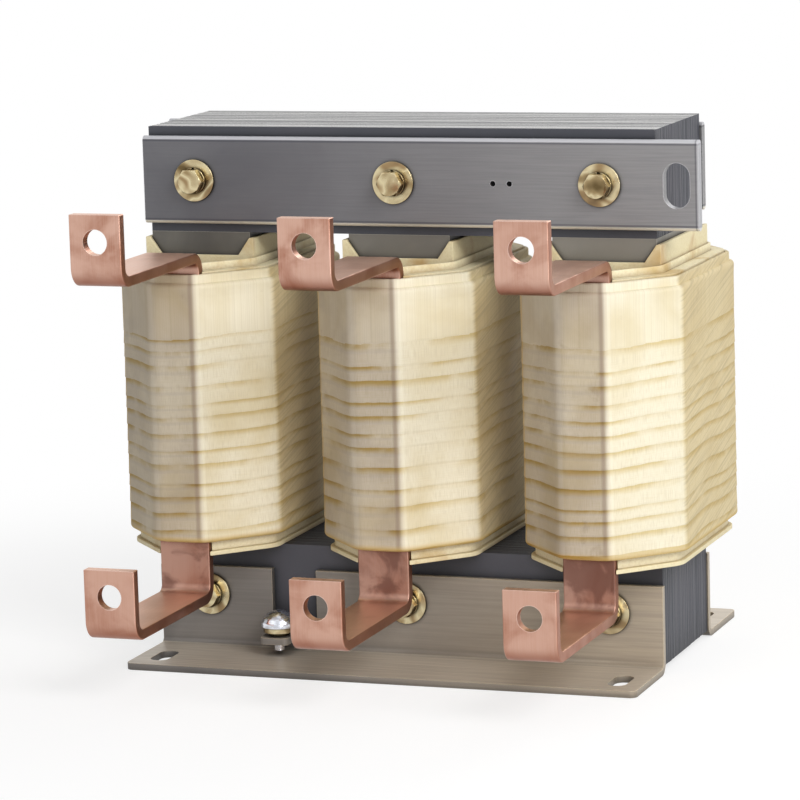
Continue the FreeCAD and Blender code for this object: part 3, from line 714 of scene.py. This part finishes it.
def closed_grid(name, points, around, turns):
    """Joins a (rows, columns, 3) array into quads, closed both ways, with its UV map."""
    rows, columns = points.shape[:2]
    i, j = np.meshgrid(np.arange(rows), np.arange(columns), indexing="ij")
    down = (i + 1) % rows
    right = (j + 1) % columns
    quads = np.stack([i * columns + j, i * columns + right,
                      down * columns + right, down * columns + j], axis=-1)
    mesh = bpy.data.meshes.new(name)
    mesh.vertices.add(rows * columns)
    mesh.vertices.foreach_set("co", points.reshape(-1).astype(np.float32))
    mesh.loops.add(rows * columns * 4)
    mesh.loops.foreach_set("vertex_index", quads.reshape(-1).astype(np.int32))
    mesh.polygons.add(rows * columns)
    mesh.polygons.foreach_set("loop_start", np.arange(0, rows * columns * 4, 4, dtype=np.int32))
    mesh.polygons.foreach_set("use_smooth", np.ones(rows * columns, dtype=bool))
    mesh.update(calc_edges=True)
    mesh.validate()
    layer = mesh.uv_layers.new(name="winding")
    u = np.stack([around[j], around[j + 1], around[j + 1], around[j]], axis=-1)
    v = np.stack([turns[i, j], turns[i, right], turns[down, right], turns[down, j]], axis=-1)
    layer.data.foreach_set("uv", np.stack([u, v], axis=-1).reshape(-1).astype(np.float32))
    piece = bpy.data.objects.new(name, mesh)
    scene.collection.objects.link(piece)
    return piece


print("meshes so far:", len(bpy.data.meshes))

# %% [markdown]
# ## The coil outline
# Seen from above, each coil is an octagon, longer from front to rear, with well rounded
# corners. Moving the outline inwards moves each side square to itself, so a corner goes
# along the line that halves its angle, and its radius shrinks by half the way in. The
# corner's arc starts where a circle touches both sides.

# %% Octagon
HALF_WIDTH, HALF_DEPTH = 47.5 * MM, 91.0 * MM
SIDE_HALF_FLAT, FRONT_HALF_FLAT = 55.0 * MM, 14.7 * MM


def octagon(insets):
    """The eight corners for each inset, anticlockwise from the front end of the right side.

    A corner that turns by t moves along a side by the inset times tan(t/2).
    """
    slant = math.atan2(HALF_DEPTH - SIDE_HALF_FLAT, HALF_WIDTH - FRONT_HALF_FLAT)
    w = HALF_WIDTH - insets
    d = HALF_DEPTH - insets
    s = SIDE_HALF_FLAT - insets * math.tan((math.pi / 2 - slant) / 2)
    f = FRONT_HALF_FLAT - insets * math.tan(slant / 2)
    corners = [(w, -s), (w, s), (f, d), (-f, d), (-w, s), (-w, -s), (-f, -d), (f, -d)]
    return np.stack([np.stack(pair, axis=-1) for pair in corners], axis=1)


print("octagon corners:", octagon(np.zeros(1)).shape[1])

# %% Coil outline
CORNER_RADIUS, CORNER_TAPER = 16.0 * MM, 0.5
ARC_STEPS = 12
RUN_STEPS = (34, 13, 9, 13, 34, 13, 9, 13)


def coil_outline(insets):
    """Points and outward normals round the rounded octagon, as (rows, columns, 2) arrays.

    There is a row for each inset. The third result says how far into a corner each point is.
    At a corner that turns by an angle t, a circle of radius r touches both sides at r tan(t/2)
    from the corner. The arc's points are its centre plus r times a normal that turns by t.
    """
    corners = octagon(insets)
    ahead = np.roll(corners, -1, axis=1) - corners
    ahead /= np.linalg.norm(ahead, axis=-1, keepdims=True)
    behind = np.roll(ahead, 1, axis=1)
    turning = np.arccos(np.clip((ahead * behind).sum(axis=-1), -1, 1))
    r = (CORNER_RADIUS - CORNER_TAPER * insets)[:, None]
    start = corners - behind * (r * np.tan(turning / 2))[..., None]
    outward = np.stack([behind[..., 1], -behind[..., 0]], axis=-1)
    centre = start - outward * r[..., None]
    angle = turning[..., None] * np.linspace(0, 1, ARC_STEPS)
    cos, sin = np.cos(angle), np.sin(angle)
    normal = np.stack([outward[..., None, 0] * cos - outward[..., None, 1] * sin,
                       outward[..., None, 0] * sin + outward[..., None, 1] * cos], axis=-1)
    arcs = centre[:, :, None] + normal * r[..., None, None]
    points, normals, bends = [], [], []
    for k, steps in enumerate(RUN_STEPS):
        share = (np.arange(1, steps + 1) / (steps + 1))[None, :, None]
        first, last = arcs[:, k, -1:], arcs[:, (k + 1) % 8, :1]
        points += [arcs[:, k], first + (last - first) * share]
        normals += [normal[:, k], np.repeat(normal[:, k, -1:], steps, axis=1)]
        bends += [np.sin(np.linspace(0, math.pi, ARC_STEPS)), np.zeros(steps)]
    points, normals = np.concatenate(points, axis=1), np.concatenate(normals, axis=1)
    return points, normals, np.concatenate(bends)


print("points round a coil:", len(coil_outline(np.zeros(1))[2]))

# %% [markdown]
# ## Slow waves in place of noise
# Hand-laid tape is never quite even. A few sines with seeded phases, whole numbers of them
# round the coil, give a smooth wander that meets itself at the end.

# %% Seeded wander
WAVES = 7
STEEPEST = 40.0  # radians in a metre of height


def wander(around, height, seed, fastest=9):
    """A sum of sines: each has whole waves round the coil, a slower wave in height and a phase."""
    dice = np.random.default_rng(seed)
    total = np.zeros(np.broadcast(around, height).shape)
    for _ in range(WAVES):
        rounds = dice.integers(1, fastest)
        rise = dice.uniform(-STEEPEST, STEEPEST)
        phase = dice.uniform(0, 2 * math.pi)
        total += np.sin(2 * math.pi * rounds * around + rise * height + phase)
    return total / WAVES


print("a wander at one point:", round(float(wander(np.zeros(1), np.zeros(1), 3)[0]), 3))

# %% [markdown]
# ## The ring's profile
# Cut across, a wound ring is a tall upright strip. Its profile is one closed line through
# corners given as inset and height, up the outer wall and down the inner one. Each corner
# is a quarter circle between the way in, a, and the way out, b.

# %% Ring profile
OUTER_CORNERS = [(0.0, 220.0), (2.6, 220.0), (2.6, 225.0), (5.0, 225.0), (5.0, 72.0), (0.0, 72.0)]
OUTER_RADII = [2.4, 0.2, 1.1, 1.0, 0.3, 2.4]  # millimetres, as the corners are
WALL_ROWS = 210
RIM_STEPS = 6


def ring_profile(corners, radii, wall_rows):
    """Insets and heights along the closed cross-section, and which rows are the outer wall.

    The corner c with radius r gives c - a r (1 - sin t) + b r (1 - cos t), t from 0 to 90
    degrees. The outer wall runs from the last corner up to the first.
    """
    corners, radii = np.array(corners) * MM, np.array(radii) * MM
    along = corners - np.roll(corners, 1, axis=0)
    along /= np.linalg.norm(along, axis=1, keepdims=True)
    ahead = np.roll(along, -1, axis=0)
    t = np.linspace(0, math.pi / 2, RIM_STEPS)[None, :, None]
    r = radii[:, None, None]
    entering = along[:, None] * r * (1 - np.sin(t))
    arcs = corners[:, None] - entering + ahead[:, None] * r * (1 - np.cos(t))
    share = (np.arange(1, wall_rows + 1) / (wall_rows + 1))[:, None]
    wall = arcs[-1, -1] + (arcs[0, 0] - arcs[-1, -1]) * share
    profile = np.concatenate([wall, arcs.reshape(-1, 2)])
    return profile[:, 0], profile[:, 1], np.arange(len(profile)) < wall_rows


insets, heights, is_wall = ring_profile(OUTER_CORNERS, OUTER_RADII, WALL_ROWS)
print("rows in the profile:", len(heights))

# %% [markdown]
# ## Where the tape's edges lie
# The turns are laid by hand, so their pitches differ. Adding up seeded pitches gives the
# height of every edge, and the turn count at any height is read off between two of them.
# A slow slant and a wander move the count a little on the way round.

# %% Turn count
FIRST_TAPE_EDGE = 190.0 * MM
LEAST_PITCH, MOST_PITCH = 6.5 * MM, 13.5 * MM
TAPE_TURNS = 20
SLANT, SLANT_CENTRE = 2.6 * MM, 0.93
EDGE_WANDER = 1.8 * MM
BEFORE_FIRST = 0.4  # the count above the first edge


def turn_count(around, height, seed):
    """Turns counted downwards from the first edge, as a straight line between seeded edges.

    The height is first lowered by a slant, its size times the sine of the way round, and
    raised by a wander.
    """
    dice = np.random.default_rng(seed)
    pitches = dice.uniform(LEAST_PITCH, MOST_PITCH, TAPE_TURNS)
    edges = FIRST_TAPE_EDGE - np.concatenate([[0.0], np.cumsum(pitches)])
    slanted = height - SLANT * np.sin(2 * math.pi * (around - SLANT_CENTRE))
    slanted = slanted + EDGE_WANDER * wander(around, height, seed)
    return np.interp(-slanted, -edges, np.arange(1, TAPE_TURNS + 2), left=BEFORE_FIRST)


lowest = turn_count(np.zeros(1), heights.min(), 3)[0]
print("turns down to the lower rim:", round(float(lowest), 1))

# %% [markdown]
# ## Outer windings
# Each turn of tape laps over the one below by its own thickness, so the wall has small
# steps. They come from the fraction of the turn count: the surface swells slowly and drops
# at each edge. The same count goes into the UV map, so the golden lines sit on the steps.
# At the two rims the steps fade out.

# %% Outer windings
COIL_X = {"left": -120.0 * MM, "mid": 0.0, "right": 120.0 * MM}
TAPE_SEEDS = {"left": 3, "mid": 10, "right": 17}
HOLLOW_SEED = 50  # added, so that the hollows don't follow the edges
TAPE_LAP = 0.35 * MM
HOLLOW = 0.22 * MM
RIM_FADE = 5.0 * MM


def outer_winding(coil, seed):
    """The taped ring: the outline at each inset, pushed in by the lap steps and slow hollows.

    A point goes in by lap (1 - f) + hollow (1 + wander)(1 - bend), with f the fraction of
    the turn count, and this fades out over a few millimetres at the two rims.
    """
    outline, normals, bends = coil_outline(insets)
    steps = np.linalg.norm(np.diff(outline[0], axis=0, append=outline[0, :1]), axis=-1)
    along = np.concatenate([[0.0], np.cumsum(steps)])
    around = (along[:-1] / along[-1])[None, :]
    height = heights[:, None]
    turns = turn_count(around, height, seed)
    lapped = np.where(turns >= 1.0, turns % 1.0, 0.5)
    wall = heights[is_wall]
    to_rim = np.minimum(wall - wall[0], wall[-1] - wall)
    fade = np.zeros(len(heights))
    fade[is_wall] = np.clip(to_rim / RIM_FADE, 0, 1)
    slow = wander(around, height, seed + HOLLOW_SEED, fastest=14)
    inward = fade[:, None] * (TAPE_LAP * (1 - lapped) + HOLLOW * (1 + slow) * (1 - bends))
    points = outline - normals * inward[..., None]
    upright = np.broadcast_to(height[..., None], points.shape[:2] + (1,))
    stack = np.concatenate([points, upright], axis=-1)
    stack[..., 0] += COIL_X[coil]
    piece = closed_grid(f"{coil}_outer_tape", stack, along, turns)
    marks = {"corner": np.broadcast_to(bends, stack.shape[:2]), "facing": normals[..., 0]}
    for name, values in marks.items():
        layer = piece.data.attributes.new(name, "FLOAT", "POINT")
        layer.data.foreach_set("value", values.reshape(-1).astype(np.float32))
    piece.data.materials.append(tape)
    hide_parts(f"{coil}_outer_winding")
    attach(piece, "root")
    return piece


# %% Wind the three coils
for coil, seed in TAPE_SEEDS.items():
    piece = outer_winding(coil, seed)
    print(piece.name, len(piece.data.polygons), "quads")

# %% [markdown]
# ## Yokes as packs of sheets
# A yoke is a stack of cut sheets, never quite flush. It could be an array of thin boxes,
# but only the outside shows. So its section is a rectangle, carried from front to rear. At
# the joint between two sheets the section shrinks by a little, and each sheet stands back
# by its own small amount.

# %% Yokes
CORE_HALF_WIDTH, HALF_STACK = 150.0 * MM, 45.0 * MM
YOKES = {"bottom_yoke": (4.0 * MM, 64.0 * MM, 40), "top_yoke": (244.0 * MM, 304.0 * MM, 41)}
SHEETS = 90
JOINT_DEPTH = 0.22 * MM
JOINT_SHARE = 0.12  # of a sheet's thickness, on each side
MOST_SET_BACK = 0.25 * MM


def sheet_pack(node, z0, z1, seed):
    """A rectangle carried along Y, drawn in by a joint depth at both faces of each sheet."""
    dice = np.random.default_rng(seed)
    thick = 2 * HALF_STACK / SHEETS
    starts = -HALF_STACK + thick * np.arange(SHEETS)
    own = dice.uniform(0, MOST_SET_BACK, SHEETS)
    shares = np.array([0.0, JOINT_SHARE, 1 - JOINT_SHARE, 1.0]) * thick
    y = (starts[:, None] + shares).reshape(-1)
    inset = np.stack([own + JOINT_DEPTH, own, own, own + JOINT_DEPTH], axis=-1).reshape(-1)
    inset[0] = inset[-1] = 0.0
    x = CORE_HALF_WIDTH - inset
    low, high = z0 + inset, z1 - inset
    corners = [(-x, low), (x, low), (x, high), (-x, high)]
    ring = np.stack([np.stack([cx, y, cz], axis=-1) for cx, cz in corners], axis=1)
    rows = len(y)
    i, j = np.meshgrid(np.arange(rows - 1), np.arange(4), indexing="ij")
    after = (j + 1) % 4
    quads = np.stack([(i + 1) * 4 + j, (i + 1) * 4 + after, i * 4 + after, i * 4 + j], axis=-1)
    ends = [[0, 1, 2, 3], [rows * 4 - 1, rows * 4 - 2, rows * 4 - 3, rows * 4 - 4]]
    mesh = bpy.data.meshes.new(f"{node}_sheets")
    mesh.from_pydata(ring.reshape(-1, 3).tolist(), [], quads.reshape(-1, 4).tolist() + ends)
    mesh.materials.append(core_steel)
    piece = bpy.data.objects.new(f"{node}_sheets", mesh)
    scene.collection.objects.link(piece)
    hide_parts(node)
    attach(piece, "root")
    return piece


# %% Stack both yokes
for node, (z0, z1, seed) in YOKES.items():
    piece = sheet_pack(node, z0, z1, seed)
    print(piece.name, len(piece.data.polygons), "faces")

# %% [markdown]
# ## Floor
# The floor is pale and wide. Seen by the camera or in a reflection it is close to white,
# yet part of its brightness still comes from the lamps, so the shadow stays. Away from the
# part it fades to plain white. For all other light it is an ordinary pale floor.

# %% Floor finish
WHITE_FROM, WHITE_AT = 0.24, 0.62  # metres from the middle


def seen_directly(tree):
    """One for the camera's own rays and for those in reflections and through glass."""
    path = tree.nodes.new("ShaderNodeLightPath").outputs
    either = maths(tree, "MAXIMUM", path["Is Camera Ray"], path["Is Glossy Ray"])
    return maths(tree, "MAXIMUM", either, path["Is Transmission Ray"])


def grey(level):
    """A grey of one level in linear light."""
    return (level, level, level, 1.0)


pale = bpy.data.materials.new("pale_floor")
pale.use_nodes = True
tree = pale.node_tree
tree.nodes.clear()
lit = put(tree, "ShaderNodeBsdfDiffuse", {"Color": grey(0.8)})
dim = put(tree, "ShaderNodeBsdfDiffuse", {"Color": grey(0.36)})
glow = put(tree, "ShaderNodeEmission", {"Color": grey(1.0), "Strength": 0.7})
shown = put(tree, "ShaderNodeAddShader", {0: dim.outputs[0], 1: glow.outputs[0]})
white = put(tree, "ShaderNodeEmission", {"Color": grey(1.0), "Strength": 1.0})
spot = put(tree, "ShaderNodeTexCoord").outputs["Object"]
away = put(tree, "ShaderNodeVectorMath", {0: spot}, operation="LENGTH").outputs["Value"]
fade = between(tree, away, WHITE_FROM, WHITE_AT)
faded = put(tree, "ShaderNodeMixShader", {0: fade, 1: shown.outputs[0], 2: white.outputs[0]})
seen = seen_directly(tree)
mixed = put(tree, "ShaderNodeMixShader", {0: seen, 1: lit.outputs[0], 2: faded.outputs[0]})
put(tree, "ShaderNodeOutputMaterial", {"Surface": mixed.outputs[0]})
print("floor finish:", len(tree.nodes), "nodes")

# %% Floor
FLOOR_HALF, FLOOR_Z = 6.0, -0.2 * MM
floor_mesh = bpy.data.meshes.new("floor")
signs = ((-1, -1), (1, -1), (1, 1), (-1, 1))
corners = [(x * FLOOR_HALF, y * FLOOR_HALF, FLOOR_Z) for x, y in signs]
floor_mesh.from_pydata(corners, [], [(0, 1, 2, 3)])
floor_mesh.materials.append(pale)
floor = bpy.data.objects.new("floor", floor_mesh)
scene.collection.objects.link(floor)
print("floor half a side, in metres:", FLOOR_HALF)

# %% [markdown]
# ## World and lamps
# The world is white where it is seen and dimmer as a light, so that shadows keep some
# depth. The main soft lamp stands to the right. A low one shines in between the coils, a
# weak one lifts the left facets, and one behind the part keeps its rear readable.

# %% World
AMBIENT = 0.365
world = bpy.data.worlds.new("soft_room")
scene.world = world
world.use_nodes = True
tree = world.node_tree
tree.nodes.clear()
strength = between(tree, seen_directly(tree), 0.0, 1.0, AMBIENT, 1.0)
sky = put(tree, "ShaderNodeBackground", {"Color": grey(1.0), "Strength": strength})
put(tree, "ShaderNodeOutputWorld", {"Surface": sky.outputs[0]})
print("ambient light:", AMBIENT)

# %% Lamps
LAMP_AIM = Vector((0.0, 0.0, 150.0)) * MM
LAMPS = {  # azimuth and elevation in degrees, distance and side in metres, watts
    "key": (53.0, 34.0, 2.4, 1.1, 31.5), "fill": (-25.0, 30.0, 2.6, 1.6, 3.0),
    "low": (31.0, 7.0, 3.0, 0.7, 20.0), "rear": (165.0, 32.0, 2.6, 1.4, 14.0)}


def soft_lamp(name, azimuth, elevation, distance, side, watts):
    """A square lamp aimed at the middle of the object from an azimuth and an elevation."""
    data = bpy.data.lights.new(name, "AREA")
    data.size = side
    data.energy = watts
    lamp = bpy.data.objects.new(name, data)
    away = outwards(azimuth, elevation)
    turn = away.to_track_quat("Z", "Y").to_matrix().to_4x4()
    lamp.matrix_world = Matrix.Translation(LAMP_AIM + away * distance) @ turn
    scene.collection.objects.link(lamp)


for name, numbers in LAMPS.items():
    soft_lamp(name, *numbers)
print("lamps:", list(LAMPS))
